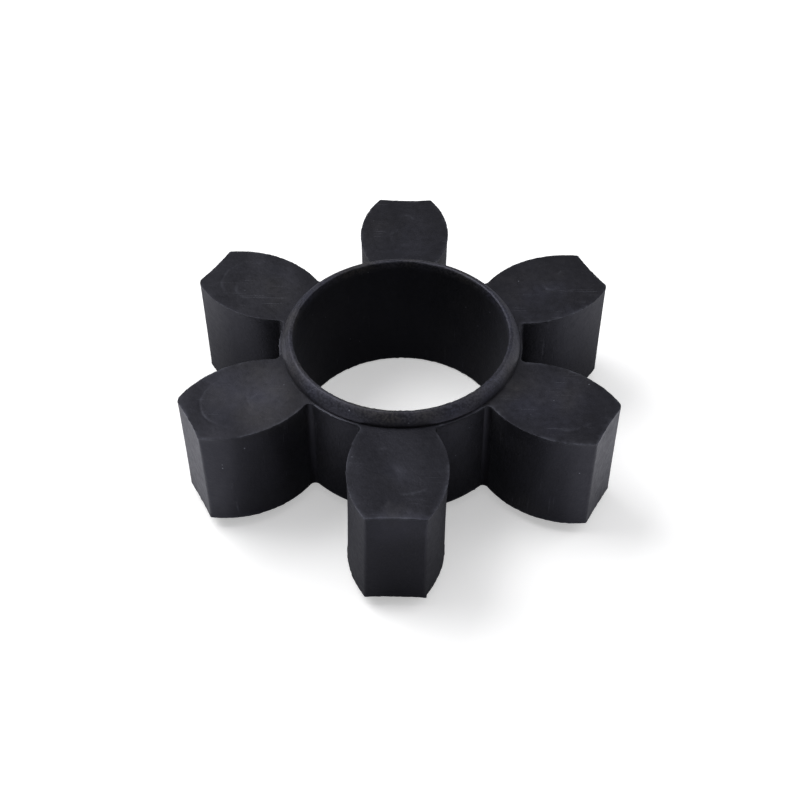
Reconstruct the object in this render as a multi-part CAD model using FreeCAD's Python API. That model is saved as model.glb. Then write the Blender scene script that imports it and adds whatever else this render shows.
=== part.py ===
import FreeCAD, Part
import math
import os

# Elastomer spider of a jaw coupling: the six-legged rubber insert that sits between the jaws of
# two coupling hubs.  Millimetres.  Z is the shaft axis and points up.  The origin is on that axis
# at the lowest point, so the part stands on the plane z = 0.  One leg points along -Y.
#
# The real part is one moulding.  Here it is split at its natural lines into closed solids that
# meet face to face: the hub ring, a raised rim on each of its faces, and six legs.

# Driving dimensions
OUTER_DIAMETER = 140.0        # across the flat outer ends of two opposite legs
LEG_COUNT = 6
LEG_HEIGHT = 35.5             # axial length of legs and hub ring
LEG_WIDTH = 28.8              # widest place of a leg, from flank to flank
LEG_WIDEST_RADIUS = 51.7      # distance of that widest place from the axis
LEG_END_WIDTH = 16.8          # flat outer end, before its two corners are rounded
LEG_CORNER_RADIUS = 1.2       # upright corners at the outer end
ROOT_FILLET_RADIUS = 2.0      # where a flank runs into the hub ring
BORE_DIAMETER = 65.5          # clear hole for the shaft ends
RING_WALL = 4.2               # hub ring, from bore to outer wall
RIM_HEIGHT = 4.0              # each rim stands this far above or below the legs
RIM_FOOT_INSET = 0.5          # the rim's foot stands back from the ring's outer wall
RIM_FOOT_HEIGHT = 0.5         # upright band at the rim's foot
RIM_TOP_WIDTH = 0.6           # flat crest of the rim, next to its inner corner
RIM_CORNER_RADIUS = 0.6       # rounded corner between bore and crest
RIM_CROWN = 0.4               # how far the rim's outer slope bulges out from a straight line

# Sizes that follow from them
BORE_RADIUS = BORE_DIAMETER / 2
RING_RADIUS = BORE_RADIUS + RING_WALL
END_RADIUS = OUTER_DIAMETER / 2
LEG_BOTTOM = RIM_HEIGHT
LEG_TOP = LEG_BOTTOM + LEG_HEIGHT
TOTAL_HEIGHT = LEG_TOP + RIM_HEIGHT

UP = FreeCAD.Vector(0, 0, 1)
ORIGIN = FreeCAD.Vector(0, 0, 0)
FRONT_LEG_ANGLE = -90.0       # degrees, the direction of leg_1


def one_solid(shape):
    """The single solid that a cut or a fillet leaves inside its compound."""
    (solid,) = shape.Solids
    return solid


def flank_circle():
    """Centre distance, sideways offset and radius of the arc that forms the +Y flank.

    The arc is level at LEG_WIDEST_RADIUS, half the leg's width from its middle plane, and it
    passes through the end's corner."""
    run = END_RADIUS - LEG_WIDEST_RADIUS
    drop = (LEG_WIDTH - LEG_END_WIDTH) / 2
    radius = (run ** 2 + drop ** 2) / (2 * drop)
    return LEG_WIDEST_RADIUS, LEG_WIDTH / 2 - radius, radius


def point_on_flank(along):
    """Point of the +Y flank at a distance from the axis, measured along the leg."""
    centre_x, centre_y, radius = flank_circle()
    return FreeCAD.Vector(along, centre_y + math.sqrt(radius ** 2 - (along - centre_x) ** 2), 0)


def root_fillet():
    """The arc that leads the +Y flank into the ring: start on the ring, middle, end on the flank.

    Its centre is one fillet radius outside both the ring's wall and the flank, so it is where a
    circle about the axis and a circle about the flank's centre cross."""
    centre_x, centre_y, radius = flank_circle()
    from_axis = RING_RADIUS + ROOT_FILLET_RADIUS
    from_flank = radius + ROOT_FILLET_RADIUS
    apart = math.hypot(centre_x, centre_y)
    along = (from_axis ** 2 - from_flank ** 2 + apart ** 2) / (2 * apart)
    across = math.sqrt(from_axis ** 2 - along ** 2)
    ux, uy = centre_x / apart, centre_y / apart
    centre = FreeCAD.Vector(along * ux - across * uy, along * uy + across * ux, 0)
    on_ring = centre * (RING_RADIUS / from_axis)
    flank_centre = FreeCAD.Vector(centre_x, centre_y, 0)
    on_flank = flank_centre + (centre - flank_centre) * (radius / from_flank)
    towards_leg = ((on_ring - centre).normalize() + (on_flank - centre).normalize()).normalize()
    return on_ring, centre + towards_leg * ROOT_FILLET_RADIUS, on_flank


def mirrored(point):
    """The same point on the other side of the leg's middle plane."""
    return FreeCAD.Vector(point.x, -point.y, point.z)


def leg_outline():
    """Closed wire of a leg that points along +X: ring wall, fillet, flank, end, and back."""
    on_ring, fillet_middle, on_flank = root_fillet()
    corner = FreeCAD.Vector(END_RADIUS, LEG_END_WIDTH / 2, 0)
    halfway = point_on_flank((on_flank.x + corner.x) / 2)
    inner_middle = FreeCAD.Vector(RING_RADIUS, 0, 0)
    edges = [
        Part.Arc(on_ring, fillet_middle, on_flank).toShape(),
        Part.Arc(on_flank, halfway, corner).toShape(),
        Part.LineSegment(corner, mirrored(corner)).toShape(),
        Part.Arc(mirrored(corner), mirrored(halfway), mirrored(on_flank)).toShape(),
        Part.Arc(mirrored(on_flank), mirrored(fillet_middle), mirrored(on_ring)).toShape(),
        Part.Arc(mirrored(on_ring), inner_middle, on_ring).toShape(),
    ]
    return Part.Wire(edges)


def outer_corner_edges(solid):
    """The two upright edges at the leg's outer end."""
    return [edge for edge in solid.Edges
            if all(abs(vertex.X - END_RADIUS) < 0.001 for vertex in edge.Vertexes)
            and abs(edge.tangentAt(edge.FirstParameter).z) > 0.9]


def make_leg(angle):
    """One leg: the outline raised to the leg's height, its outer corners rounded, then turned."""
    leg = Part.Face(leg_outline()).extrude(UP * LEG_HEIGHT)
    leg = one_solid(leg.makeFillet(LEG_CORNER_RADIUS, outer_corner_edges(leg)))
    leg.translate(UP * LEG_BOTTOM)
    leg.rotate(ORIGIN, UP, angle)
    return leg


def make_hub_ring():
    """The plain tube between the two planes of the legs' faces."""
    base = UP * LEG_BOTTOM
    outside = Part.makeCylinder(RING_RADIUS, LEG_HEIGHT, base)
    return one_solid(outside.cut(Part.makeCylinder(BORE_RADIUS, LEG_HEIGHT, base)))


def make_rim():
    """The upper rim: a rounded inner corner, a narrow crest and a crowned outer slope."""
    foot_radius = RING_RADIUS - RIM_FOOT_INSET
    crest_start = BORE_RADIUS + RIM_CORNER_RADIUS
    crest_end = crest_start + RIM_TOP_WIDTH
    corner_cut = RIM_CORNER_RADIUS * (1 - math.sqrt(0.5))

    def at(radius, height):
        return FreeCAD.Vector(radius, 0, LEG_TOP + height)

    slope_top, slope_foot = at(crest_end, RIM_HEIGHT), at(foot_radius, RIM_FOOT_HEIGHT)
    along = (slope_foot - slope_top).normalize()
    outward = FreeCAD.Vector(-along.z, 0, along.x)
    slope_middle = (slope_top + slope_foot) * 0.5 + outward * RIM_CROWN
    edges = [
        Part.LineSegment(at(BORE_RADIUS, 0), at(BORE_RADIUS, RIM_HEIGHT - RIM_CORNER_RADIUS)).toShape(),
        Part.Arc(at(BORE_RADIUS, RIM_HEIGHT - RIM_CORNER_RADIUS),
                 at(BORE_RADIUS + corner_cut, RIM_HEIGHT - corner_cut),
                 at(crest_start, RIM_HEIGHT)).toShape(),
        Part.LineSegment(at(crest_start, RIM_HEIGHT), slope_top).toShape(),
        Part.Arc(slope_top, slope_middle, slope_foot).toShape(),
        Part.LineSegment(slope_foot, at(foot_radius, 0)).toShape(),
        Part.LineSegment(at(foot_radius, 0), at(BORE_RADIUS, 0)).toShape(),
    ]
    return Part.Face(Part.Wire(edges)).revolve(ORIGIN, UP, 360)


def upside_down(solid):
    """A solid turned over about the part's middle plane, so that its top becomes its bottom."""
    turned = solid.copy()
    turned.rotate(UP * (TOTAL_HEIGHT / 2), FreeCAD.Vector(1, 0, 0), 180)
    return turned


def make_nodes():
    """Every named solid of the spider."""
    upper_rim = make_rim()
    nodes = {
        "hub_ring": make_hub_ring(),
        "upper_rim": upper_rim,
        "lower_rim": upside_down(upper_rim),
    }
    for index in range(LEG_COUNT):
        angle = FRONT_LEG_ANGLE + index * 360.0 / LEG_COUNT
        nodes[f"leg_{index + 1}"] = make_leg(angle)
    return nodes


os.makedirs("parts", exist_ok=True)
for name, solid in make_nodes().items():
    solid.exportStep(f"parts/{name}.step")
    box = solid.optimalBoundingBox()
    print(f"{name}: volume {solid.Volume:.1f} mm3, z {box.ZMin:.2f} to {box.ZMax:.2f},"
          f" valid {solid.isValid()}, {solid.ShapeType}")
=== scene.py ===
# %% [markdown]
# # Rubber spider of a jaw coupling
#
# A jaw coupling joins two shafts.  Between its two metal hubs sits this insert, called the
# spider: one block of black rubber with a ring in the middle and six legs that fill the gaps
# between the jaws.  It is pressed from rubber in a heated steel mould, so everything on it comes
# from that mould: smooth barrel-shaped flanks, sharp outlines where the mould closed, and a thin
# trimmed skin of spare rubber (flash) along those outlines.
#
# The CAD model is loaded first and gives every position.  Its plain solids are then replaced by
# finer surfaces, worked out with numpy in the same place.

# %% Load the fixed frame
import bmesh
import bpy
import math
import numpy as np
from mathutils import Matrix, Vector


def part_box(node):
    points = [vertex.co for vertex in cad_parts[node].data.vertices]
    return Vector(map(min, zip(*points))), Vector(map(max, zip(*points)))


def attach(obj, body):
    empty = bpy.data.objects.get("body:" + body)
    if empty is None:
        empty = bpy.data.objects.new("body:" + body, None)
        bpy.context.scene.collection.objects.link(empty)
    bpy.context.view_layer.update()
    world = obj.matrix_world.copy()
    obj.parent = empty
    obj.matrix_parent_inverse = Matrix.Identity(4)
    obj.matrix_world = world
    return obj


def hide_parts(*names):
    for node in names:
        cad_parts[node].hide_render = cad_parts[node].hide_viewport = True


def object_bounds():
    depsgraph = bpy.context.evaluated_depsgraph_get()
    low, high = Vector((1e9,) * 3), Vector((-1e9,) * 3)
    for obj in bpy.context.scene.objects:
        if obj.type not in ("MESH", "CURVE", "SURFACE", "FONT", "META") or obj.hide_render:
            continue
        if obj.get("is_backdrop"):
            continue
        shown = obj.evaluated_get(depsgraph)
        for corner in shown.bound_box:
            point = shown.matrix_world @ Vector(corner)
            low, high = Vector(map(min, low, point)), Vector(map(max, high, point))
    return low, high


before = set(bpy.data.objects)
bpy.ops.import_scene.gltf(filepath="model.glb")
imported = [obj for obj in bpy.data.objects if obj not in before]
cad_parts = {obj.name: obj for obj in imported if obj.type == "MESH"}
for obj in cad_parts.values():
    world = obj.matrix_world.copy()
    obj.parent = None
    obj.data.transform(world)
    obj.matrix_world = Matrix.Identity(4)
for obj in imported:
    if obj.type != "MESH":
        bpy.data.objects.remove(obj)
cad_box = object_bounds()
print("CAD box in millimetres:", [[round(1000 * value, 2) for value in corner] for corner in cad_box])

# %% [markdown]
# ## Sizes from the CAD model
#
# Blender works in metres, and the part is described in millimetres, so one factor turns the one
# into the other.  Heights and radii are read from the boxes of the CAD nodes.  Only the curves
# that a box can't tell, such as the bulge of a leg, are repeated here as numbers.

# %% Read heights and radii
MM = 0.001
ring_low, ring_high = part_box("hub_ring")
rim_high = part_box("upper_rim")[1]
leg_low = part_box("leg_1")[0]

LEG_BOTTOM = ring_low.z / MM
LEG_TOP = ring_high.z / MM
RIM_TOP = rim_high.z / MM
MIDDLE = RIM_TOP / 2
RING_RADIUS = ring_high.x / MM
RIM_FOOT_RADIUS = rim_high.x / MM
RING_WALL = 4.2                  # from the bore to the ring's outer wall
BORE_RADIUS = RING_RADIUS - RING_WALL
END_RADIUS = -leg_low.y / MM
print("legs from", round(LEG_BOTTOM, 2), "to", round(LEG_TOP, 2), "mm, ring radius", round(RING_RADIUS, 2))

# %% [markdown]
# ## The camera
#
# The camera looks down on the part from the front at about 46 degrees, nearly along the front
# leg, and from only 42 centimetres away, so that the front leg looks clearly larger than the
# back one.  It is set up by turning it about three axes one after another: down, round, and a
# trace of roll.

# %% Place the camera
LOOK_DOWN = math.radians(46.03)
TURN = math.radians(1.53)
ROLL = math.radians(-0.32)
DISTANCE = 0.4198
AIM = Vector((-0.07, -7.93, MIDDLE)) * MM

camera_data = bpy.data.cameras.new("camera")
camera_data.lens = 60.81
camera_data.clip_start = 0.01
camera = bpy.data.objects.new("camera", camera_data)
bpy.context.scene.collection.objects.link(camera)
turned = (Matrix.Rotation(TURN, 4, "Z") @ Matrix.Rotation(math.pi / 2 - LOOK_DOWN, 4, "X")
          @ Matrix.Rotation(ROLL, 4, "Z"))
backwards = turned.to_3x3() @ Vector((0, 0, 1))
camera.matrix_world = Matrix.Translation(AIM + backwards * DISTANCE) @ turned
bpy.context.scene.camera = camera
print("camera at", [round(value, 3) for value in camera.location])

# %% [markdown]
# ## Surfaces from grids
#
# Every piece is a grid of points: rows in one direction, columns in the other, computed as whole
# arrays.  A grid that closes in both directions is a ring.  A grid that closes in one direction
# is a tube; its first and last rows lie flat on a line, like the pressed end of a toothpaste
# tube, and sharing the points that meet there closes it.  At the two ends of that line many
# columns run into one point, so points in the same place are merged, which leaves no face with
# no area.

# %% Turn a grid into a piece
def grid_faces(rows, columns, is_tube):
    """Quads between neighbouring grid points; columns wrap round, and rows too unless it is a tube.

    In the end rows of a tube, column c and column -c are the same point."""
    index = np.arange(rows * columns).reshape(rows, columns)
    if is_tube:
        across = np.minimum(np.arange(columns), (columns - np.arange(columns)) % columns)
        index[0] = index[0, across]
        index[-1] = index[-1, across]
    above = np.roll(index, -1, axis=0)
    corners = [index, np.roll(index, -1, axis=1), np.roll(above, -1, axis=1), above]
    faces = np.stack(corners, axis=-1)
    return (faces[:-1] if is_tube else faces).reshape(-1, 4)


SAME_PLACE = 0.0001              # points nearer than this, in millimetres, are merged


def surface_piece(name, grid, edge, is_tube):
    """A mesh object from points in millimetres; the grid's first axis goes up, its second round.

    `edge` says for each point how near it is to a trimmed edge, from 0 to 1, and is kept as an
    attribute for the material."""
    used, faces = np.unique(grid_faces(*grid.shape[:2], is_tube), return_inverse=True)
    mesh = bpy.data.meshes.new(name)
    mesh.from_pydata((grid.reshape(-1, 3)[used] * MM).tolist(), [], faces.reshape(-1, 4).tolist())
    nearness = edge.reshape(-1)[used].astype(np.float32)
    mesh.attributes.new("edge", "FLOAT", "POINT").data.foreach_set("value", nearness)
    closed = bmesh.new()
    closed.from_mesh(mesh)
    bmesh.ops.remove_doubles(closed, verts=closed.verts, dist=SAME_PLACE * MM)
    closed.to_mesh(mesh)
    closed.free()
    mesh.shade_smooth()
    mesh.update()
    piece = bpy.data.objects.new(name, mesh)
    bpy.context.scene.collection.objects.link(piece)
    print(name, "has", len(mesh.polygons), "faces")
    return piece


print("a tube of 3 rows and 6 columns has", len(grid_faces(3, 6, True)), "faces")

# %% [markdown]
# ## Unevenness
#
# Trimmed rubber edges are never straight.  A few sine waves with random phases, added up, give a
# line that wobbles but closes on itself.  The random numbers come from a fixed seed, so every
# run gives the same part.

# %% Wobble that closes on itself
def wobble(seed, turn, waves):
    """Sum of sines over one turn (0 to 1), one for each wave count, with seeded phases; about -1 to 1."""
    phases = np.random.default_rng(seed).uniform(0, 2 * np.pi, len(waves))
    angle = 2 * np.pi * turn[..., None] * np.array(waves) + phases
    return np.sin(angle).sum(axis=-1) / math.sqrt(len(waves))


def bumps(seed, turn, count, width):
    """Narrow bell-shaped bumps at seeded places round one turn, of seeded heights from 0.3 to 1."""
    random = np.random.default_rng(seed)
    places = random.uniform(0, 1, count)
    heights = random.uniform(0.3, 1, count)
    apart = (turn[..., None] - places + 0.5) % 1 - 0.5
    return (heights * np.exp(-(apart / width) ** 2)).sum(axis=-1)


print("one wobble at five places of a turn:", wobble(1, np.linspace(0, 1, 5), [3, 5]).round(2))

# %% [markdown]
# ## The ring and its two rims
#
# The middle of the spider is a tube, and on each face it stands up as a tapered rim.  A lathe or
# the Spin tool would make it too, but a profile carried round a circle as an array also lets the
# profile change a little on the way: the flash on the shoulder wobbles, and small nibs of rubber
# stand on the lip of the bore.

# %% The ring's profile
# Sizes of the rim's section, in millimetres.
CREST_ROOM = 0.05                # the crest stays this far below the CAD's, to leave room for unevenness
FOOT_BAND = 0.5                  # upright band at the foot
SLOPE_START = 1.2                # from the bore to where the outer slope begins
SLOPE_CROWN = 0.4                # bulge of the outer slope
LIP_RADIUS = 0.6                 # rounded corner between bore and crest
CREASE = (0.2, 0.12)             # how far the fold at the foot lies inwards, and below the legs' tops
SHOULDER_DROP = 0.08             # where the outer wall ends, below the legs' tops


def rim_corners():
    """Corner points (radius, height) from mid-height outside, over the upper rim, to mid-height inside.

    The outer slope is a straight line with a parabola added to it, which crowns it by SLOPE_CROWN."""
    crest = RIM_TOP - CREST_ROOM
    foot = np.array([RIM_FOOT_RADIUS - CREST_ROOM, LEG_TOP + FOOT_BAND])
    head = np.array([BORE_RADIUS + SLOPE_START, crest])
    share = np.linspace(0, 1, 12)[:, None]
    outward = np.array([foot[1] - head[1], foot[0] - head[0]]) * [-1, 1] / np.linalg.norm(foot - head)
    slope = foot + (head - foot) * share + outward * SLOPE_CROWN * 4 * share * (1 - share)
    angle = np.radians(np.linspace(90, 180, 7))
    corner = np.stack([BORE_RADIUS + LIP_RADIUS + LIP_RADIUS * np.cos(angle),
                       crest - LIP_RADIUS + LIP_RADIUS * np.sin(angle)], axis=-1)
    crease = [RIM_FOOT_RADIUS - CREASE[0], LEG_TOP - CREASE[1]]
    wall = [[RING_RADIUS, MIDDLE], [RING_RADIUS, LEG_TOP - SHOULDER_DROP], crease]
    return np.concatenate([wall, slope, corner, [[BORE_RADIUS, MIDDLE]]])


FINE_STEP = 0.02                 # spacing of the samples that are averaged


def spaced_profile(corners, count, soften, turning):
    """A closed profile with softened corners and its points gathered where it bends.

    The corners are joined by straight runs, sampled every few hundredths of a millimetre, and
    averaged with a bell curve.  The points are then equally spaced in length plus `turning` times
    the angle turned."""
    loop = np.concatenate([corners, corners[:1]])
    length = np.concatenate([[0], np.cumsum(np.linalg.norm(np.diff(loop, axis=0), axis=1))])
    fine = np.arange(0, length[-1], FINE_STEP)
    dense = np.stack([np.interp(fine, length, loop[:, axis]) for axis in (0, 1)], axis=-1)
    reach = int(4 * soften / FINE_STEP)
    bell = np.exp(-(np.arange(-reach, reach + 1) * FINE_STEP / soften) ** 2)
    wrapped = np.concatenate([dense[-reach:], dense, dense[:reach]])
    smooth = np.stack([np.convolve(wrapped[:, axis], bell / bell.sum(), "valid") for axis in (0, 1)],
                      axis=-1)
    step = np.roll(smooth, -1, axis=0) - smooth
    heading = np.arctan2(step[:, 1], step[:, 0])
    turned_by = np.abs((np.diff(heading, append=heading[0]) + np.pi) % (2 * np.pi) - np.pi)
    measure = np.cumsum(np.linalg.norm(step, axis=1) + turning * turned_by)
    wanted = np.linspace(0, measure[-1], count, endpoint=False)
    return np.stack([np.interp(wanted, measure, smooth[:, axis]) for axis in (0, 1)], axis=-1)


upper = rim_corners()
lower = upper[::-1][1:-1] * [1, -1] + [0, 2 * MIDDLE]
profile = spaced_profile(np.concatenate([upper, lower]), count=130, soften=0.12, turning=1.6)
print("profile of", len(profile), "points, highest", round(profile[:, 1].max(), 2), "mm")

# %% [markdown]
# ### Round the axis
#
# The profile is carried round the axis in 600 steps.  On the way three places of it move a
# little: the shoulder, where the mould closed and left flash; the crest, which is not quite
# level; and the lip of the bore, with its small nibs.  At the front right a short stretch of the
# shoulder kept more of its flash than the rest.

# %% Carry the profile round the axis
def near(profile, radius, height, width):
    """Bell-shaped weight of each profile point by its distance from one place on the profile."""
    return np.exp(-((profile[:, 0] - radius) ** 2 + (profile[:, 1] - height) ** 2) / width ** 2)[:, None]


# Heights in millimetres; a spread along the turn is a share of a whole turn.
UNTRIMMED_AT = 0.81              # where the untrimmed stretch is, as a share of a turn from +X
UNTRIMMED_SPREAD = 0.022
UNTRIMMED_HEIGHT = 0.35
FLASH_HEIGHT = 0.16              # flash on the shoulder: its mean, its wobble and its torn bits
FLASH_WOBBLE = 0.08
FLASH_TORN = 0.25
LIP_WOBBLE = 0.05                # nibs on the lip of the bore
LIP_NIB = 0.16
CREST_WOBBLE = 0.03              # unevenness of the crest, and how far it lies low
CREST_LOW = 0.01
WALL_WOBBLE = 0.05               # how far the whole ring is out of round
CLEARANCE = 0.005                # kept free inside the CAD's lowest and highest planes


def ring_surface(profile, columns):
    """Point = (radius cos turn, radius sin turn, height), with radius and height varied along the turn."""
    turn = np.arange(columns)[None, :] / columns
    radius, height = profile[:, :1] + 0 * turn, profile[:, 1:] + 0 * turn
    edge = np.zeros_like(radius)
    untrimmed = np.exp(-((turn - UNTRIMMED_AT) / UNTRIMMED_SPREAD) ** 2) * bumps(31, turn, 160, 0.0016)
    for seed, side in ((11, 1), (12, -1)):
        shoulder = near(profile, RING_RADIUS, MIDDLE + side * (LEG_TOP - MIDDLE), 0.3)
        crest = near(profile, BORE_RADIUS + 0.9, MIDDLE + side * MIDDLE, 1.2)
        lip = near(profile, BORE_RADIUS + 0.15, MIDDLE + side * (MIDDLE - 0.3), 0.3)
        torn = FLASH_TORN * bumps(seed, turn, 26, 0.0016)
        flash = FLASH_HEIGHT + FLASH_WOBBLE * wobble(seed, turn, [7, 19, 43, 61]) + torn
        radius = radius + shoulder * (flash + UNTRIMMED_HEIGHT * untrimmed * (side > 0))
        nibs = LIP_WOBBLE * wobble(seed + 2, turn, [31, 53, 87]) + LIP_NIB * bumps(seed + 3, turn, 40, 0.0014)
        radius = radius - lip * nibs
        uneven = CREST_WOBBLE * wobble(seed + 4, turn, [3, 5, 11]) - CREST_LOW
        height = height + side * crest * uneven
        edge = edge + shoulder + 0.7 * lip
    radius = radius + WALL_WOBBLE * wobble(21, turn, [2, 3, 5]) * np.cos(0.09 * (height - MIDDLE))
    angle = 2 * np.pi * turn
    height = np.clip(height, CLEARANCE, RIM_TOP - CLEARANCE)
    surface = np.stack([radius * np.cos(angle), radius * np.sin(angle), height], axis=-1)
    return surface, np.clip(edge, 0, 1)


ring = surface_piece("rubber_ring", *ring_surface(profile, columns=600), is_tube=False)
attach(ring, "root")
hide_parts("hub_ring", "upper_rim", "lower_rim")

# %% [markdown]
# ## The outline of a leg
#
# Seen from above a leg is a barrel: two bulging flanks, a flat outer end and two small fillets
# where it grows out of the ring.  All of these are circular arcs that touch each other, so the
# outline is worked out from their centres and radii.  The same formula serves every height: near
# the top and bottom the corners get sharper and the outline spreads a little, because that is
# where the mould closed.

# %% Half of a leg's outline
LEG_WIDEST_RADIUS = 51.7
LEG_HALF_WIDTH = 14.4
END_HALF_WIDTH = 8.4
ROOT_FILLET = 2.0
ROOT_DEPTH = 0.95                # how far a leg reaches into the ring's wall
WALL_GAP = 0.03                  # the fillet meets the ring this far inside its wall
END_BACK = 0.33                  # the outer end stands back this far, and the flanks FLANK_BACK,
FLANK_BACK = 0.1                 # because the edges spread beyond them
FLANK_RUN = END_RADIUS - LEG_WIDEST_RADIUS
FLANK_DROP = LEG_HALF_WIDTH - END_HALF_WIDTH
FLANK_RADIUS = (FLANK_RUN ** 2 + FLANK_DROP ** 2) / (2 * FLANK_DROP)
FLANK_OFFSET = LEG_HALF_WIDTH - FLANK_RADIUS


def on_arc(centre_x, centre_y, radius, start, end, count):
    """Points on a circular arc from one angle to another, both ends left out."""
    angle = start + (end - start) * (np.arange(count) + 0.5) / count
    return centre_x + radius * np.cos(angle), centre_y + radius * np.sin(angle)


def half_outline(spread, corner):
    """From the middle of the outer end, round one corner and flank, to the middle of the root.

    `spread` moves the outline outwards and `corner` is the radius of its outer corner; both are
    columns with one value for each height.  The leg points along +X."""
    end = END_RADIUS - END_BACK + spread
    flank = FLANK_RADIUS - FLANK_BACK + spread
    corner_x = end - corner
    corner_y = FLANK_OFFSET + np.sqrt((flank - corner) ** 2 - (corner_x - LEG_WIDEST_RADIUS) ** 2)
    corner_angle = np.arctan2(corner_y - FLANK_OFFSET, corner_x - LEG_WIDEST_RADIUS)
    wall = RING_RADIUS - WALL_GAP
    fillet = ROOT_FILLET - spread
    apart = math.hypot(LEG_WIDEST_RADIUS, FLANK_OFFSET)
    along = ((wall + fillet) ** 2 - (flank + fillet) ** 2 + apart ** 2) / (2 * apart)
    across = np.sqrt((wall + fillet) ** 2 - along ** 2)
    ux, uy = LEG_WIDEST_RADIUS / apart, FLANK_OFFSET / apart
    fillet_x, fillet_y = along * ux - across * uy, along * uy + across * ux
    root_angle = np.arctan2(fillet_y, fillet_x)
    flank_angle = np.arctan2(fillet_y - FLANK_OFFSET, fillet_x - LEG_WIDEST_RADIUS)
    face = np.linspace(0, 1, 22)[None, :]
    inner = np.linspace(1, 0, 16)[None, :]
    runs = [
        (end + 0 * face, corner_y * face),
        on_arc(corner_x, corner_y, corner, 0, corner_angle, 14),
        on_arc(LEG_WIDEST_RADIUS, FLANK_OFFSET, flank, corner_angle, flank_angle, 74),
        on_arc(fillet_x, fillet_y, fillet, flank_angle - np.pi, root_angle - np.pi, 14),
        ((wall - ROOT_DEPTH) * np.cos(root_angle * inner),
         (wall - ROOT_DEPTH) * np.sin(root_angle * inner)),
    ]
    return [np.concatenate([run[axis] for run in runs], axis=1) for axis in (0, 1)]


print("a flank is an arc of", round(FLANK_RADIUS, 2), "mm radius")

# %% [markdown]
# ## The end faces of a leg
#
# Thick rubber shrinks as it cools, so the flat face of a leg sinks a little in its middle, by
# about a quarter of a millimetre.  Ejector pins and handling leave shallow arcs in it.  All of
# this is relief in the surface itself, not only in its shading.

# %% Relief of a leg's end faces
CAP_MIDDLE = 53                  # of the sunken ellipse, from the axis
CAP_REACH = (16.5, 13)           # its half lengths along and across the leg
CAP_SINK = 0.26
HOLLOWS = 7
MARK_SCUFF = 0.55                # how pale a pressed mark is, where 1 is as pale as an edge


def cap_relief(seed, x, y, marks):
    """How deep each point of a cap lies, in millimetres, and how scuffed it is.

    An ellipse sinks most in its middle; seeded bells are shallow hollows; a mark is an arc whose
    section is a bell: its depth falls off with the distance from a circle, inside a span of angle."""
    oval = np.clip(1 - ((x - CAP_MIDDLE) / CAP_REACH[0]) ** 2 - (y / CAP_REACH[1]) ** 2, 0, 1)
    depth = CAP_SINK * oval ** 1.5
    random = np.random.default_rng(seed + 50)
    hollows = random.uniform((42, -9, 2.0, -0.03), (66, 9, 5.0, 0.09), (HOLLOWS, 4))
    for place_x, place_y, width, deep in hollows:
        depth = depth + deep * np.exp(-((x - place_x) ** 2 + (y - place_y) ** 2) / width ** 2) * oval
    scuff = 0 * x
    for place_x, place_y, radius, facing, span, width, deep in marks:
        away = np.hypot(x - place_x, y - place_y) - radius
        angle = np.degrees(np.arctan2(y - place_y, x - place_x))
        aside = (angle - facing + 180) % 360 - 180
        arc = np.exp(-(away / width) ** 2) * np.exp(-(aside / span) ** 4)
        depth = depth + deep * arc
        scuff = scuff + MARK_SCUFF * arc
    return depth, scuff


sample_depth = cap_relief(0, np.array([CAP_MIDDLE]), np.array([0.0]), [])[0]
print("a cap sinks", round(float(sample_depth[0]), 2), "mm in its middle")

# %% [markdown]
# ## A whole leg
#
# The outline is mirrored to close it, and stacked up in rows from the bottom edge to the top
# edge.  Each cap is the edge's outline shrunk in steps towards a line along its middle, which
# keeps the surface in one grid.  The cap sinks a little, as thick rubber does when it cools.

# %% Rows of a leg
# WALL_ROWS are heights above the lower edge, and the same distances below the upper edge.
EDGE_RADIUS = 0.1                # rounding of the upper and lower edges
LEG_HEIGHT = LEG_TOP - LEG_BOTTOM
WALL_ROWS = np.array([0, 0.012, 0.035, 0.065, 0.1, 0.17, 0.28, 0.45, 0.7, 1.0,
                      1.4, 1.9, 2.6, 3.5, 4.6, 6, 7.7, 9.7, 12, 14.8])
from_edge = np.concatenate([WALL_ROWS, [LEG_HEIGHT / 2], WALL_ROWS[::-1]])
goes_up = np.concatenate([WALL_ROWS, [LEG_HEIGHT / 2], LEG_HEIGHT - WALL_ROWS[::-1]])
CAP_STEPS = 1 - np.linspace(0, 1, 42)[1:] ** 1.35
print("rows of a wall:", len(from_edge), "- steps of a cap:", len(CAP_STEPS))

# %% Surface of a leg
MIDDLE_ROW = len(WALL_ROWS)
EDGE_SPREAD = 0.18               # how far an edge spreads, and WAIST how far the middle draws in
WAIST = 0.1
SHARP_CORNER = 0.8               # radius of an outer corner at the edges; CORNER_GROWTH more elsewhere
CORNER_GROWTH = 0.6
SPINE_START = 38.5               # the caps close on a line along the leg, this far from the axis
SPINE_LENGTH = 22
PALE_REACH = 0.45                # how far from an edge its pale wear fades
EDGE_WOBBLE = 0.05
EDGE_NIB = 0.1
WALL_SWAY = 0.05
END_SINK = 0.12                  # the outer end's middle sinks, and TOP_END_SINK more near the top
TOP_END_SINK = 0.32
BURR_WIDTH = 0.7
BURR_RISE = 0.5                  # how far a burr turns up or down for each millimetre sideways


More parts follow.
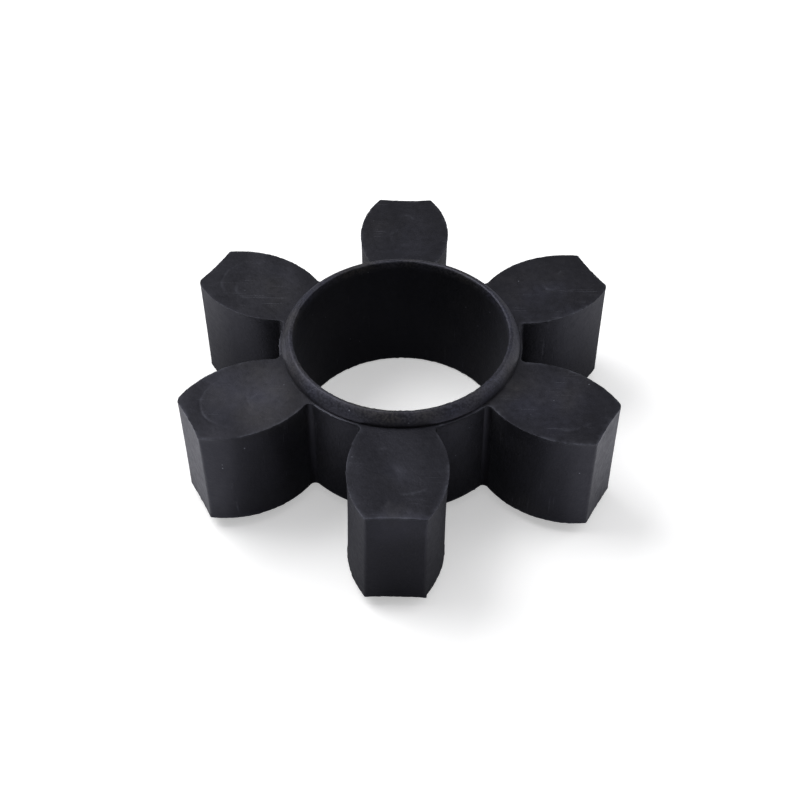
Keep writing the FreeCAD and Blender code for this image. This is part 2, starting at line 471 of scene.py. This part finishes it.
def leg_surface(seed, lean, burrs, marks):
    """Grid of one leg along +X, in millimetres, and how near each point is to an edge."""
    depth = from_edge[:, None]
    is_top = (goes_up > LEG_HEIGHT / 2)[:, None]
    spread = EDGE_SPREAD * np.exp(-depth / 0.8) - WAIST * np.sin(np.pi * goes_up[:, None] / LEG_HEIGHT)
    tucked = np.clip(1 - depth / EDGE_RADIUS, 0, 1)
    spread = spread - EDGE_RADIUS * (1 - np.sqrt(1 - tucked ** 2))
    corner = SHARP_CORNER + CORNER_GROWTH * (1 - np.exp(-depth / 2.2))
    x, y = half_outline(spread, corner)
    x = np.concatenate([x, x[:, -2:0:-1]], axis=1)
    y = np.concatenate([y, -y[:, -2:0:-1]], axis=1)
    z = LEG_BOTTOM + goes_up[:, None] + 0 * x
    spine_x = SPINE_START + SPINE_LENGTH * np.clip((x[-1] - 38) / 31, 0, 1)

    step_x = np.roll(x, -1, axis=1) - np.roll(x, 1, axis=1)
    step_y = np.roll(y, -1, axis=1) - np.roll(y, 1, axis=1)
    size = np.hypot(step_x, step_y) + 1e-9
    turn = np.cumsum(size[MIDDLE_ROW:MIDDLE_ROW + 1], axis=1) / size[MIDDLE_ROW].sum() + 0 * x
    edge = np.exp(-depth / PALE_REACH) + 0 * x
    rough = np.where(is_top, wobble(seed, turn, [17, 29, 41, 67]),
                     wobble(seed + 1, turn, [13, 31, 47, 71]))
    nibs = np.where(is_top, bumps(seed + 2, turn, 9, 0.004), bumps(seed + 3, turn, 14, 0.005))
    tall = np.cos(0.16 * goes_up[:, None] + seed)
    slow = tall * wobble(seed + 4, turn, [2, 3, 5])
    push = EDGE_WOBBLE * rough * edge + EDGE_NIB * nibs * np.exp(-depth / 0.3) + WALL_SWAY * slow
    outer = np.clip((x - RING_RADIUS - 1.5) / 6, 0, 1)
    at_corner = np.exp(-((x - END_RADIUS) ** 2 + (np.abs(y) - END_HALF_WIDTH) ** 2) / 2.5 ** 2)
    push = push * (1 - at_corner)
    x = x + outer * push * step_y / size
    y = y - outer * push * step_x / size

    at_end = np.clip((x - 66) / 3, 0, 1) * np.clip(1 - (y / END_HALF_WIDTH) ** 2, 0, 1)
    x = x - at_end * (TOP_END_SINK * np.exp(-depth / 5) * is_top + END_SINK)
    y = y + lean * outer * (goes_up[:, None] / LEG_HEIGHT - 0.5)
    for side, above, length in burrs:
        aside = y - side * (END_HALF_WIDTH - 0.3)
        tip = np.exp(-((x - END_RADIUS + 0.6) ** 2 + aside ** 2) / BURR_WIDTH ** 2)
        grown = length * tip * np.exp(-depth / 0.35) * (is_top == above)
        y = y + side * grown
        z = z + (BURR_RISE if above else -BURR_RISE) * grown

    rows = [np.stack([x, y, z], axis=-1)]
    edges = [edge]
    shrink = CAP_STEPS[:, None]
    for outwards, level, seam in ((-1, LEG_BOTTOM, 0), (1, LEG_TOP, -1)):
        cap_x = spine_x + shrink * (x[seam] - spine_x)
        cap_y = shrink * y[seam]
        depth, scuff = cap_relief(seed + outwards, cap_x, cap_y, marks if outwards > 0 else [])
        cap_z = level + (z[seam] - level) * shrink ** 30 - outwards * depth
        cap = np.stack([cap_x, cap_y, cap_z], axis=-1)
        nearness = np.exp(-np.hypot(x[seam] - cap_x, y[seam] - cap_y) / PALE_REACH) + scuff
        rows = rows + [cap] if outwards > 0 else [cap[::-1]] + rows
        edges = edges + [nearness] if outwards > 0 else [nearness[::-1]] + edges
    return np.concatenate(rows), np.clip(np.concatenate(edges), 0, 1)


sample_grid = leg_surface(0, 0.0, [], [])[0]
print("a leg is a grid of", sample_grid.shape[0], "rows and", sample_grid.shape[1], "columns")

# %% [markdown]
# ## Six legs
#
# All legs come from the same mould and differ only in small things: how far the soft rubber
# leans, where a tip of flash still hangs on a corner, and which arcs are pressed into the top.
# The loop reads each leg's direction from its CAD node.  Turning the grid of points, instead of
# the object, keeps every piece at the origin.  The sharp corners would stand a little out of the
# CAD box; cutting them off flat would crush faces to nothing, so they are squeezed in instead.

# %% Make the six legs
# A burr is the side of the leg that it hangs on, whether at the top, and its length.
BURRS = {
    1: [(1, False, 0.7), (-1, False, 0.6)],
    2: [(-1, True, 0.5), (1, True, 0.7)],
    3: [(-1, True, 1.1)],
    5: [(1, False, 0.5)],
    6: [(-1, False, 1.2)],
}
LEANS = {1: 0.7, 4: -0.2}
# A mark is centre along, centre across, radius, facing and half span in degrees, width, depth.
MARKS = {
    1: [(47.0, 1.0, 14.0, 14, 16, 0.35, 0.03), (50, -3, 6.0, 200, 25, 0.4, 0.03)],
    2: [(55.0, 0.5, 9.8, -40, 30, 0.4, 0.03)],
    3: [(54.0, 0.5, 2.3, -120, 70, 0.7, 0.28), (61.0, 2.0, 2.6, 80, 50, 0.35, 0.05)],
    4: [(50.0, 0.5, 4.0, 100, 90, 0.5, 0.04), (59.0, -0.5, 2.4, 0, 80, 0.45, 0.04)],
    5: [(55.0, 0.0, 9.8, 20, 45, 0.35, 0.06), (53.0, 1.5, 6.0, 60, 40, 0.4, 0.03)],
    6: [(55.0, 0.0, 10.0, -20, 55, 0.35, 0.06), (50.0, -4.0, 4.5, 100, 25, 0.35, 0.07),
        (46.0, 2.0, 5.5, -15, 35, 0.3, 0.05)],
}
SQUEEZE = 0.25                   # how far inside the box, in millimetres, the squeeze begins


def squeezed_into(box, points):
    """Points kept inside a box and in their order: from SQUEEZE before a wall onwards, the distance
    is bent over by a hyperbolic tangent, which comes ever nearer to the wall."""
    low, high = (np.array(corner) / MM for corner in box)
    over = np.maximum(points - high + SQUEEZE, 0)
    under = np.maximum(low + SQUEEZE - points, 0)
    below_high = points - over + SQUEEZE * np.tanh(over / SQUEEZE)
    return below_high + under - SQUEEZE * np.tanh(under / SQUEEZE)


legs = {}
for number in range(1, 7):
    low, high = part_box(f"leg_{number}")
    middle = (low + high) / 2
    angle = math.atan2(middle.y, middle.x)
    grid, edge = leg_surface(number * 100, LEANS.get(number, 0.0), BURRS.get(number, []), MARKS[number])
    turned = np.array(Matrix.Rotation(-angle, 3, "Z"))
    placed = squeezed_into(cad_box, grid @ turned)
    legs[number] = surface_piece(f"rubber_leg_{number}", placed, edge, is_tube=True)
    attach(legs[number], "root")
    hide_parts(f"leg_{number}")


# %% [markdown]
# ## Colours and nodes
#
# Colours are written as the hex values that a screen shows.  A renderer counts light instead, so
# one function turns each hex value to linear light.  A second small function adds a shader node:
# an input gets either a plain value or the node that feeds it, which keeps the recipes readable.

# %% Helpers for materials
def linear(hex_colour):
    """Linear RGBA from an sRGB hex string: a straight part near black, a 2.4 power above it."""
    screen = [int(hex_colour[place:place + 2], 16) / 255 for place in (1, 3, 5)]
    light = [value / 12.92 if value <= 0.04045 else ((value + 0.055) / 1.055) ** 2.4 for value in screen]
    return (*light, 1.0)


def add_node(tree, kind, options, inputs):
    """Adds a node.  `options` are its own settings; `inputs` name a socket and give it a value, or
    the node or output socket that feeds it."""
    node = tree.nodes.new(kind)
    for key, value in options.items():
        setattr(node, key, value)
    for key, value in inputs.items():
        if isinstance(value, (bpy.types.Node, bpy.types.NodeSocket)):
            source = value.outputs[0] if isinstance(value, bpy.types.Node) else value
            tree.links.new(source, node.inputs[key])
        else:
            node.inputs[key].default_value = value
    return node


def new_material(name):
    """An empty node material; returns it and its node tree."""
    material = bpy.data.materials.new(name)
    material.use_nodes = True
    material.node_tree.nodes.clear()
    return material, material.node_tree


print("mid grey #808080 is", round(linear("#808080")[0], 3), "in linear light")

# %% [markdown]
# ## Moulded nitrile rubber
#
# The real material is nitrile rubber (NBR) blackened with soot and pressed in a steel mould.
# Soot makes it nearly black with a cold tint.  The mould leaves a satin skin: mostly matt, with a
# sheen at shallow angles, typical IOR 1.5 and roughness about 0.45.  The finish is built up in
# layers, as the real one is: a black base, bloom on it, then scratches, pale worn edges and dust.
#
# Everything starts from noise in four sizes.  Object coordinates are in metres, so a Mapping node
# turns them to millimetres, and a pattern of blobs 9 mm wide is simply noise with a scale of 1/9.
# The real grain of the mould is about 0.1 mm; it is drawn at 0.7 mm, because finer would not show.

# %% Noise of the moulded skin
# Each size has the width of its largest blobs in millimetres, its detail and its roughness.
NOISE_SIZES = {
    "patches": (22.0, 2.0, 0.55),
    "clouds": (9.0, 4.0, 0.6),
    "mottle": (2.2, 5.0, 0.65),
    "grain": (0.7, 3.0, 0.55),
}


def skin_noise(tree, seed):
    """Object coordinates, the same in millimetres and shifted by `seed`, and noise of each size."""
    place = add_node(tree, "ShaderNodeTexCoord", {}, {}).outputs["Object"]
    shifted = add_node(tree, "ShaderNodeMapping", {},
                       {"Vector": place, "Scale": (1000, 1000, 1000), "Location": (seed, 2 * seed, 0)})
    skin = {"place": place, "mm": shifted}
    for name, (size, detail, roughness) in NOISE_SIZES.items():
        skin[name] = add_node(tree, "ShaderNodeTexNoise", {},
                              {"Vector": shifted, "Scale": 1 / size, "Detail": detail,
                               "Roughness": roughness})
    return skin


print("noise sizes in millimetres:", {name: values[0] for name, values in NOISE_SIZES.items()})

# %% [markdown]
# ### Bloom
#
# Wax and sulphur sweat out of rubber as it ages and lie on it as a cloudy grey haze, called
# bloom.  It could be one noise, but on the real part it is thinner towards the outer ends, which
# hands and jaws rub clean, thicker on the upper rim, and gathered in a cloudy patch or two on each
# leg.  The same haze also carries painted light.  It is cut to about a third on upright walls, which
# is painted shade that leaves faces looking up paler.  On the front and front-left legs some
# patches are painted highlights.  So the haze is made of simple ramps: clouds, distance from the
# axis, distance from the middle of each patch, and the normal's z.

# %% Haze of bloom
RAGGED = 12                      # how far clouds push a patch's border in and out, in millimetres
RIM_BLOOM = (0.4, 2.4)           # heights above the legs where the rim's coat begins and is full


def bloom_haze_and_painted_light(tree, skin, rim_haze, amount, patches):
    """How much bloom and painted light lies at each point: clouds times a fade towards the outer
    ends, plus patches with cloudy borders, which are bloom and on legs 1 and 6 also painted
    highlights, times mottle, times a third on upright walls as painted shade, plus a coat on the
    upper rim."""
    flat = add_node(tree, "ShaderNodeMapping", {}, {"Vector": skin["place"], "Scale": (1, 1, 0)})
    length = add_node(tree, "ShaderNodeVectorMath", {"operation": "LENGTH"}, {0: flat})
    from_axis = length.outputs["Value"]
    rubbed = add_node(tree, "ShaderNodeMapRange", {}, {"Value": from_axis, "From Min": 0.054,
                                                      "From Max": 0.069, "To Min": 1.0, "To Max": 0.2})
    clouds = add_node(tree, "ShaderNodeMapRange", {}, {"Value": skin["clouds"], "From Min": 0.38,
                                                      "From Max": 0.68, "To Max": amount})
    bloom_and_painted_light = add_node(tree, "ShaderNodeMath", {"operation": "MULTIPLY"}, {0: clouds, 1: rubbed})

    # Patches are bloom, and on legs 1 and 6 they are also painted highlights.
    for patch_middle, patch_radius, patch_amount in patches:
        middle = tuple(MM * value for value in patch_middle)
        away = add_node(tree, "ShaderNodeVectorMath", {"operation": "DISTANCE"},
                        {0: skin["place"], 1: middle}).outputs["Value"]
        ragged = add_node(tree, "ShaderNodeMath", {"operation": "MULTIPLY_ADD"},
                          {0: skin["clouds"], 1: RAGGED * MM, 2: away})
        bloom_and_highlight_spot = add_node(tree, "ShaderNodeMapRange", {},
                        {"Value": ragged, "From Min": patch_radius * MM, "From Max": 0.0,
                         "To Max": patch_amount})
        bloom_and_painted_light = add_node(tree, "ShaderNodeMath", {"operation": "ADD"}, {0: bloom_and_painted_light, 1: bloom_and_highlight_spot})
    mottled = add_node(tree, "ShaderNodeMapRange", {}, {"Value": skin["mottle"], "From Min": 0.3,
                                                       "From Max": 0.7, "To Min": 0.45})
    bloom_and_painted_light = add_node(tree, "ShaderNodeMath", {"operation": "MULTIPLY"}, {0: bloom_and_painted_light, 1: mottled})

    # Painted shade: upright walls get about a third of the haze, so faces that look up are paler.
    facing = add_node(tree, "ShaderNodeNewGeometry", {}, {}).outputs["Normal"]
    facing_up = add_node(tree, "ShaderNodeSeparateXYZ", {}, {0: facing}).outputs["Z"]
    painted_wall_shade = add_node(tree, "ShaderNodeMapRange", {}, {"Value": facing_up, "From Min": 0.2,
                                                       "From Max": 0.8, "To Min": 0.35})
    bloom_and_painted_light = add_node(tree, "ShaderNodeMath", {"operation": "MULTIPLY"}, {0: bloom_and_painted_light, 1: painted_wall_shade})

    height = add_node(tree, "ShaderNodeSeparateXYZ", {}, {0: skin["place"]}).outputs["Z"]
    on_rim = add_node(tree, "ShaderNodeMapRange", {},
                      {"Value": height, "From Min": (LEG_TOP + RIM_BLOOM[0]) * MM,
                       "From Max": (LEG_TOP + RIM_BLOOM[1]) * MM, "To Max": rim_haze})
    grainy = add_node(tree, "ShaderNodeMapRange", {}, {"Value": skin["grain"], "From Min": 0.4,
                                                      "From Max": 0.62, "To Min": 0.1})
    return add_node(tree, "ShaderNodeMath", {"operation": "MULTIPLY_ADD"}, {0: on_rim, 1: grainy, 2: bloom_and_painted_light})


print("the upper rim's own bloom begins", RIM_BLOOM[0], "mm above the legs")

# %% [markdown]
# ### Scratches, worn edges and dust
#
# Handling leaves fine scratches, which look paler than the rubber.  They are noise stretched a
# long way in one direction, with only its highest peaks kept.  Worn edges use the attribute
# written into each mesh, which knows where the trimmed edges are, and mottle breaks them up.
# Dust is one speck in some cells of a Voronoi pattern with cells of 3.5 mm; real specks are
# 0.1 mm, and these are drawn at 0.25 mm, because smaller would not show.

# %% Amounts of wear
DUST_CELL = 3.5                  # millimetres
DUST_SPECK = 0.035               # radius of a speck's solid middle, as a share of its cell


def scratch_amount(tree, skin, seed):
    """Peaks of noise stretched to about 22 by 0.4 millimetres, kept only where clouds are dense."""
    drawn = add_node(tree, "ShaderNodeMapping", {},
                     {"Vector": skin["mm"], "Scale": (1 / 22, 1 / 0.4, 1 / 22),
                      "Rotation": (0.3, 0.5, seed * 0.37)})
    streaks = add_node(tree, "ShaderNodeTexNoise", {}, {"Vector": drawn, "Scale": 1.0, "Detail": 2.0,
                                                       "Roughness": 0.55})
    peaks = add_node(tree, "ShaderNodeMapRange", {}, {"Value": streaks, "From Min": 0.64, "From Max": 0.74})
    where = add_node(tree, "ShaderNodeMapRange", {}, {"Value": skin["clouds"], "From Min": 0.5,
                                                     "From Max": 0.6, "To Max": 0.16})
    return add_node(tree, "ShaderNodeMath", {"operation": "MULTIPLY"}, {0: peaks, 1: where})


def worn_amount(tree, skin):
    """Nearness to a trimmed edge times mottle and clouds, so that the pale line is broken."""
    edge = add_node(tree, "ShaderNodeAttribute", {"attribute_name": "edge"}, {}).outputs["Fac"]
    broken = add_node(tree, "ShaderNodeMapRange", {}, {"Value": skin["mottle"], "From Min": 0.38,
                                                      "From Max": 0.6, "To Min": 0.25})
    cloudy = add_node(tree, "ShaderNodeMapRange", {}, {"Value": skin["clouds"], "From Min": 0.42,
                                                      "From Max": 0.62, "To Min": 0.04, "To Max": 0.5})
    along = add_node(tree, "ShaderNodeMath", {"operation": "MULTIPLY"}, {0: broken, 1: cloudy})
    return add_node(tree, "ShaderNodeMath", {"operation": "MULTIPLY"}, {0: edge, 1: along})


def dust_amount(tree, skin):
    """One where a point is near the middle of its Voronoi cell, in cells whose colour is high."""
    cells = add_node(tree, "ShaderNodeTexVoronoi", {}, {"Vector": skin["mm"], "Scale": 1 / DUST_CELL})
    colour = add_node(tree, "ShaderNodeSeparateColor", {}, {0: cells.outputs["Color"]})
    chosen = add_node(tree, "ShaderNodeMapRange", {}, {"Value": colour, "From Min": 0.7, "From Max": 0.98})
    speck = add_node(tree, "ShaderNodeMapRange", {}, {"Value": cells, "From Min": 2 * DUST_SPECK,
                                                     "From Max": DUST_SPECK})
    return add_node(tree, "ShaderNodeMath", {"operation": "MULTIPLY"}, {0: speck, 1: chosen})


print("a dust speck is about", round(2 * DUST_SPECK * DUST_CELL, 2), "mm wide")

# %% [markdown]
# ### Relief too fine for the mesh
#
# Bump nodes tilt the light on the surface without moving it.  They carry what is too fine for
# the mesh: the grain of the mould, a mottle of shallow dimples, slow flow lines where the rubber
# met itself in the mould, and the scratches, which are cut in rather than raised.

# %% Chain of bumps
def skin_relief(tree, skin, scratches):
    """Four Bump nodes in a chain, each with the height in metres of its own pattern."""
    wave = add_node(tree, "ShaderNodeTexWave", {}, {"Vector": skin["mm"], "Scale": 1 / 40,
                                                   "Distortion": 9.0, "Detail": 2.0, "Detail Scale": 0.6})
    flow = wave.outputs["Fac"]
    chain = None
    for pattern, height, inward in ((skin["grain"], 0.00004, False), (skin["mottle"], 0.00018, False),
                                    (flow, 0.0003, False), (scratches, 0.0006, True)):
        inputs = {"Strength": 0.5, "Distance": height, "Height": pattern}
        if chain:
            inputs["Normal"] = chain
        chain = add_node(tree, "ShaderNodeBump", {"invert": inward}, inputs)
    return chain


print("bump heights are 0.04 mm for the grain, 0.18 for mottle, 0.3 for flow, 0.6 for a full scratch")

# %% [markdown]
# ### The whole recipe
#
# The layers are mixed from the bottom up, each by its own amount.  Bloom changes from cold to
# warm grey across large patches.  The base is a Principled shader with a weak sheen, since dry
# bloom scatters light back at shallow angles.  One recipe serves all pieces; each has its own
# seed, and each leg its own patches of bloom, some of them painted highlights, so no two legs
# look alike.

# %% Rubber recipe
RUBBER = "#030304"
SHEEN = 0.05
BLOOM_COLD = "#2c2d38"
BLOOM_WARM = "#34322f"
PALE_EDGE = "#5c5e67"
DUST = "#777a82"


def rubber_material(name, seed, rim_haze, amount, patches):
    """Moulded nitrile rubber.  `amount` is the strength of the bloom, and each of `patches` is a
    cloudy pale spot of bloom, which on legs 1 and 6 is a painted highlight: middle in millimetres,
    radius, strength."""
    material, tree = new_material(name)
    skin = skin_noise(tree, seed)
    bloom_and_painted_light = bloom_haze_and_painted_light(tree, skin, rim_haze, amount, patches)
    scratches = scratch_amount(tree, skin, seed)
    warmth = add_node(tree, "ShaderNodeMapRange", {},
                      {"Value": skin["patches"], "From Min": 0.4, "From Max": 0.6})
    tint = add_node(tree, "ShaderNodeMix", {"data_type": "RGBA"},
                    {0: warmth, 6: linear(BLOOM_COLD), 7: linear(BLOOM_WARM)}).outputs[2]
    colour = linear(RUBBER)
    for share, layer in ((bloom_and_painted_light, tint), (scratches, linear(PALE_EDGE)),
                         (worn_amount(tree, skin), linear(PALE_EDGE)),
                         (dust_amount(tree, skin), linear(DUST))):
        colour = add_node(tree, "ShaderNodeMix", {"data_type": "RGBA"},
                          {0: share, 6: colour, 7: layer}).outputs[2]
    satin = add_node(tree, "ShaderNodeMapRange", {}, {"Value": skin["mottle"], "From Min": 0.3,
                                                     "From Max": 0.7, "To Min": 0.38, "To Max": 0.5})
    roughness = add_node(tree, "ShaderNodeMath", {"operation": "MULTIPLY_ADD"},
                         {0: bloom_and_painted_light, 1: 0.05, 2: satin})
    shader = add_node(tree, "ShaderNodeBsdfPrincipled", {}, {
        "Base Color": colour,
        "Roughness": roughness,
        "IOR": 1.48,
        "Specular Tint": (0.8, 0.8, 1.0, 1.0),
        "Sheen Weight": SHEEN,
        "Sheen Roughness": 0.4,
        "Sheen Tint": (0.85, 0.87, 1.0, 1.0),
        "Normal": skin_relief(tree, skin, scratches),
    })
    add_node(tree, "ShaderNodeOutputMaterial", {}, {"Surface": shader})
    return material


BLOOM_AMOUNT = {1: 0.06, 2: 0.5, 3: 0.35, 4: 0.25, 5: 0.2, 6: 0.4}
# Painted highlights: leg 1's spots pale the upper part of its outer end and a band across the middle of its
# top, and leg 6's spot pales its top.  The other legs' spots are bloom.
BLOOM_AND_HIGHLIGHT_PATCHES = {
    1: [((0.5, -78, 37), 20, 5.5), ((-1, -54, LEG_TOP), 12, 0.9)],
    2: [((42, -24, LEG_TOP), 20, 0.6)],
    3: [((44, 25, LEG_TOP), 18, 0.4)],
    4: [((0, 46, LEG_TOP), 18, 0.25)],
    5: [((-42, 22, LEG_TOP), 18, 0.4)],
    6: [((-42, -25, LEG_TOP), 22, 1.3)],
}
ring.data.materials.append(rubber_material("moulded nitrile rubber, ring", 0, 1.0, 0.4, []))
for number, leg in legs.items():
    name = f"moulded nitrile rubber, leg {number}"
    finish = rubber_material(name, 40 * number, 0.0, BLOOM_AMOUNT[number], BLOOM_AND_HIGHLIGHT_PATCHES[number])
    leg.data.materials.append(finish)
node_count = len(ring.data.materials[0].node_tree.nodes)
print(node_count, "nodes in the ring's rubber, and a few more in each leg's")

# %% [markdown]
# ## Floor and grey card
#
# The part stands on a plain, nearly white floor that is also lit from below, like a light table,
# so that shadows on it stay pale.  It glows a little more from 0.6 to 2.5 metres out,
# where the lamps no longer reach, so that it ends as pale as the sky.  Black rubber shows little
# colour of its own and mostly what it mirrors, so a studio lays grey card where a black object
# Here a second plane just under the floor does that job: the camera
# sees only the floor, and the part sees only the card.  The card's grey levels are painted shade
# and light in what the part mirrors.  It is dark close to the part, standing in for the shade
# there, and pale beyond its side legs, whose end faces gleam.

# %% Floor and grey card
FLOOR_SIZE = 30.0                # metres from the middle to each side
FLOOR_HEIGHT = -0.0002           # just under the part, in metres, so that the two never touch
CARD_HEIGHT = -0.0004


def plane(name, height, material):
    """A large flat square at a height in metres, marked as part of the stage."""
    mesh = bpy.data.meshes.new(name)
    signs = [(-1, -1), (1, -1), (1, 1), (-1, 1)]
    mesh.from_pydata([(x * FLOOR_SIZE, y * FLOOR_SIZE, height) for x, y in signs], [], [(0, 1, 2, 3)])
    mesh.materials.append(material)
    made = bpy.data.objects.new(name, mesh)
    bpy.context.scene.collection.objects.link(made)
    made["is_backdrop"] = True
    return made


def fill_ramp(ramp_node, stops, blue):
    """Sets a Color Ramp to grey levels at the given places; `blue` times the level is its blue."""
    elements = ramp_node.color_ramp.elements
    for number, (place, level) in enumerate(stops):
        element = elements[number] if number < 2 else elements.new(place)
        element.position = place
        element.color = (level, level, level * blue, 1)


floor_material, floor_tree = new_material("pale studio floor")
paint = add_node(floor_tree, "ShaderNodeBsdfDiffuse", {}, {"Color": linear("#f4f4f4")})
place_on_floor = add_node(floor_tree, "ShaderNodeTexCoord", {}, {}).outputs["Object"]
distance = add_node(floor_tree, "ShaderNodeVectorMath", {"operation": "LENGTH"}, {0: place_on_floor})
glow_strength = add_node(floor_tree, "ShaderNodeMapRange", {},
                         {"Value": distance.outputs["Value"], "From Min": 0.6, "From Max": 2.5,
                          "To Min": 0.4, "To Max": 0.525})
glow = add_node(floor_tree, "ShaderNodeEmission", {}, {"Strength": glow_strength})
both = add_node(floor_tree, "ShaderNodeAddShader", {}, {0: paint, 1: glow})
add_node(floor_tree, "ShaderNodeOutputMaterial", {}, {"Surface": both})
floor = plane("floor", FLOOR_HEIGHT, floor_material)
floor.visible_glossy = False
floor.visible_diffuse = False
floor.visible_shadow = False

# Across the card the level follows |x| - 0.6 y, from 0 to 0.12 metres.
# Painted shade and light in what the part mirrors: the dip near the ring darkens the pockets and flanks, and
# the pale end makes the side legs' ends gleam.
CARD_PAINTED_LIGHT_STOPS = [(0.0, 0.25), (0.12, 0.22), (0.28, 0.06), (0.36, 0.12), (0.47, 0.3), (0.63, 0.38), (0.75, 1.0)]
card_material, card_tree = new_material("grey card")
position = add_node(card_tree, "ShaderNodeTexCoord", {}, {}).outputs["Object"]
axes = add_node(card_tree, "ShaderNodeSeparateXYZ", {}, {0: position})
sideways = add_node(card_tree, "ShaderNodeMath", {"operation": "ABSOLUTE"}, {0: axes.outputs["X"]})
outwards = add_node(card_tree, "ShaderNodeMath", {"operation": "MULTIPLY_ADD"},
                    {0: axes.outputs["Y"], 1: -0.6, 2: sideways})
share = add_node(card_tree, "ShaderNodeMapRange", {}, {"Value": outwards, "From Max": 0.12})
shades = add_node(card_tree, "ShaderNodeValToRGB", {}, {0: share})
fill_ramp(shades, CARD_PAINTED_LIGHT_STOPS, 1.05)
card_paint = add_node(card_tree, "ShaderNodeBsdfDiffuse", {}, {"Color": shades})
add_node(card_tree, "ShaderNodeOutputMaterial", {}, {"Surface": card_paint})
card = plane("grey_card", CARD_HEIGHT, card_material)
card.visible_camera = False
card.visible_shadow = False
print("floor and grey card,", 2 * FLOOR_SIZE, "m wide")

# %% [markdown]
# ## Light
#
# The light is soft: an even sky, a large panel behind on the left and a weaker one on the right.
# The sky is dimmer at the height that the tops of the legs mirror towards the camera, or they
# would look grey instead of black.

# %% Sky
# Each stop is a height, 0.5 at the horizon and 1 overhead, and the sky's grey level there.
SKY_STOPS = [(0.5, 0.85), (0.6, 0.3), (0.8, 0.13), (0.88, 0.2), (1.0, 0.85)]
world = bpy.data.worlds.new("studio")
bpy.context.scene.world = world
world.use_nodes = True
sky = world.node_tree
sky.nodes.clear()
direction = add_node(sky, "ShaderNodeTexCoord", {}, {}).outputs["Generated"]
upwards = add_node(sky, "ShaderNodeSeparateXYZ", {}, {0: direction}).outputs["Z"]
height = add_node(sky, "ShaderNodeMapRange", {}, {"Value": upwards, "From Min": -1.0, "From Max": 1.0})
ramp = add_node(sky, "ShaderNodeValToRGB", {}, {0: height})
fill_ramp(ramp, SKY_STOPS, 1.02)
background = add_node(sky, "ShaderNodeBackground", {}, {"Color": ramp, "Strength": 1.0})
add_node(sky, "ShaderNodeOutputWorld", {}, {"Surface": background})
print("sky with", len(SKY_STOPS), "stops")


# %% Soft panels
def panel(name, place, size, watts):
    """A square soft light at a place in metres, turned to face the part."""
    light = bpy.data.lights.new(name, "AREA")
    light.size = size
    light.energy = watts
    lamp = bpy.data.objects.new(name, light)
    bpy.context.scene.collection.objects.link(lamp)
    lamp.location = place
    lamp.rotation_mode = "QUATERNION"
    lamp.rotation_quaternion = (AIM - Vector(place)).to_track_quat("-Z", "Y")
    print(name, "gives", watts, "watts from", place)


panel("above_left", (-0.8, 0.4, 1.25), 1.0, 16)
panel("right", (1.2, 0.35, 0.9), 1.0, 5.5)
bpy.context.scene.view_settings.view_transform = "Standard"

# %% [markdown]
# ## Finish
#
# The box of the finished surfaces is printed, like the CAD box at the start. The
# finished surfaces must fill the same box as the CAD model.

# %% Write both boxes and finish
visual_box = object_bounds()
in_millimetres = [[round(value / MM, 2) for value in corner] for corner in visual_box]
print("visual box in millimetres:", in_millimetres)
